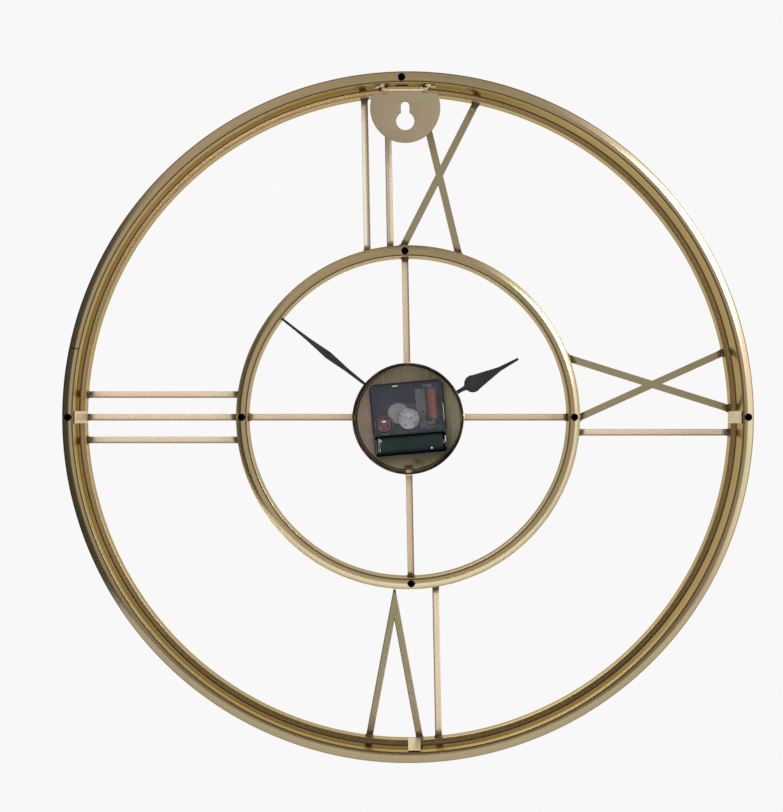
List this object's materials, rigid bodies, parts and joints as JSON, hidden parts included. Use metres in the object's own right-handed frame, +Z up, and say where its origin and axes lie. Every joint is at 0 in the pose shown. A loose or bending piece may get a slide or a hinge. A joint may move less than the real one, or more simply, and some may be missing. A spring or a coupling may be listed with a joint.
{
  "type": "open-frame wall clock",
  "caption": "Round open-frame wall clock with welded Roman numerals, quartz movement in a round cup, free-turning hands and hinged keyhole hanger.",
  "frame": {"origin": "where the wall hook seats in the hanger's keyhole, in the wall plane", "axes": "+Z up, +Y towards the wall, 3 o'clock towards +X; the dial faces -Y"},
  "size_m": [0.5, 0.0557, 0.5],
  "materials": {
    "gold_plate": "pale gold electroplate on mild steel, satin to polished, burnt brown at the welds",
    "black_screw": "black oxide",
    "case_plastic": "fine satin moulding",
    "smoked_cover": "smoked transparent, glossy",
    "copper": "enamelled copper winding",
    "steel": "dull steel",
    "gear_plastic": "natural white moulding",
    "knob_plastic": "smoky purple-brown moulding",
    "board": "green solder mask",
    "contact_metal": "nickel plated",
    "battery_jacket": "plain dark printed jacket",
    "brass": "turned brass",
    "hand_black": "matt black paint"
  },
  "bodies": {
    "frame": {"back_ring": "gold_plate", "front_ring": "gold_plate", "inner_ring": "gold_plate", "spacer_12": "gold_plate", "spacer_3": "gold_plate", "spacer_6": "gold_plate", "spacer_9": "gold_plate", "spoke_12": "gold_plate", "spoke_3": "gold_plate", "spoke_6": "gold_plate", "spoke_9": "gold_plate", "numeral_3_upper_bar": "gold_plate", "numeral_3_middle_bar": "gold_plate", "numeral_3_lower_bar": "gold_plate", "numeral_9_i": "gold_plate", "numeral_9_x": "gold_plate", "numeral_12_outer_i": "gold_plate", "numeral_12_inner_i": "gold_plate", "numeral_12_x": "gold_plate", "numeral_6_i": "gold_plate", "numeral_6_v": "gold_plate", "movement_cup": "gold_plate", "hanger_wire": "gold_plate", "ring_screw_12": "black_screw", "ring_screw_3": "black_screw", "ring_screw_9": "black_screw", "inner_screw_12": "black_screw", "inner_screw_3": "black_screw", "inner_screw_6": "black_screw", "inner_screw_9": "black_screw", "movement_case": "case_plastic", "movement_cover": "smoked_cover", "middle_plate": "case_plastic", "coil": "copper", "stator": "steel", "circuit_board": "board", "quartz_can": "contact_metal", "contact_positive": "contact_metal", "contact_negative": "contact_metal", "fixing_nut": "brass", "washer": "brass"},
    "hanger": {"hanger_plate": "gold_plate"},
    "minute_work": {"minute_hand": "hand_black", "centre_wheel": "gear_plastic", "hand_nut": "hand_black"},
    "hour_work": {"hour_hand": "hand_black", "hour_wheel": "gear_plastic"},
    "motion_work": {"motion_wheel": "gear_plastic"},
    "setting_work": {"setting_knob": "knob_plastic"},
    "third_work": {"third_wheel": "gear_plastic"},
    "seconds_work": {"seconds_wheel": "gear_plastic"},
    "intermediate_work": {"intermediate_wheel": "gear_plastic"},
    "rotor_work": {"rotor": "steel"},
    "battery": {"battery_cell": "battery_jacket"}
  },
  "joints": [
    {"name": "minute_hand_spin", "type": "hinge", "parent": "frame", "child": "minute_work", "pos_m": [-0.0006, -0.0454, -0.2263], "axis": [0, 1, 0], "continuous": true},
    {"name": "hour_hand_spin", "type": "hinge", "parent": "frame", "child": "hour_work", "pos_m": [-0.0006, -0.0454, -0.2263], "axis": [0, 1, 0], "continuous": true},
    {"name": "motion_wheel_spin", "type": "hinge", "parent": "frame", "child": "motion_work", "pos_m": [0.00861, -0.0454, -0.22864], "axis": [0, 1, 0], "continuous": true},
    {"name": "setting_knob_spin", "type": "hinge", "parent": "frame", "child": "setting_work", "pos_m": [0.01781, -0.0454, -0.23099], "axis": [0, 1, 0], "continuous": true},
    {"name": "third_wheel_spin", "type": "hinge", "parent": "frame", "child": "third_work", "pos_m": [0.00713, -0.0454, -0.22219], "axis": [0, 1, 0], "continuous": true},
    {"name": "seconds_wheel_spin", "type": "hinge", "parent": "frame", "child": "seconds_work", "pos_m": [-0.0006, -0.0454, -0.2263], "axis": [0, 1, 0], "continuous": true},
    {"name": "rotor_spin", "type": "hinge", "parent": "frame", "child": "rotor_work", "pos_m": [-0.01186, -0.0454, -0.23043], "axis": [0, 1, 0], "continuous": true},
    {"name": "intermediate_wheel_spin", "type": "hinge", "parent": "frame", "child": "intermediate_work", "pos_m": [-0.00973, -0.0454, -0.22643], "axis": [0, 1, 0], "continuous": true},
    {"name": "hanger_flap", "type": "hinge", "parent": "frame", "child": "hanger", "pos_m": [0, -0.003, 0.0124], "axis": [1, 0, 0], "range_deg": [-60, 110]},
    {"name": "battery_slide", "type": "slide", "parent": "frame", "child": "battery", "axis": [0, 1, 0], "range_m": [0, 0.02]}
  ],
  "couplings": [
    {"joint": "hour_hand_spin", "follows": "minute_hand_spin", "ratio": 0.083333},
    {"joint": "motion_wheel_spin", "follows": "minute_hand_spin", "ratio": -0.33333},
    {"joint": "setting_knob_spin", "follows": "minute_hand_spin", "ratio": 1},
    {"joint": "third_wheel_spin", "follows": "minute_hand_spin", "ratio": -7.5},
    {"joint": "seconds_wheel_spin", "follows": "minute_hand_spin", "ratio": 60},
    {"joint": "intermediate_wheel_spin", "follows": "rotor_spin", "ratio": -0.2}
  ]
}
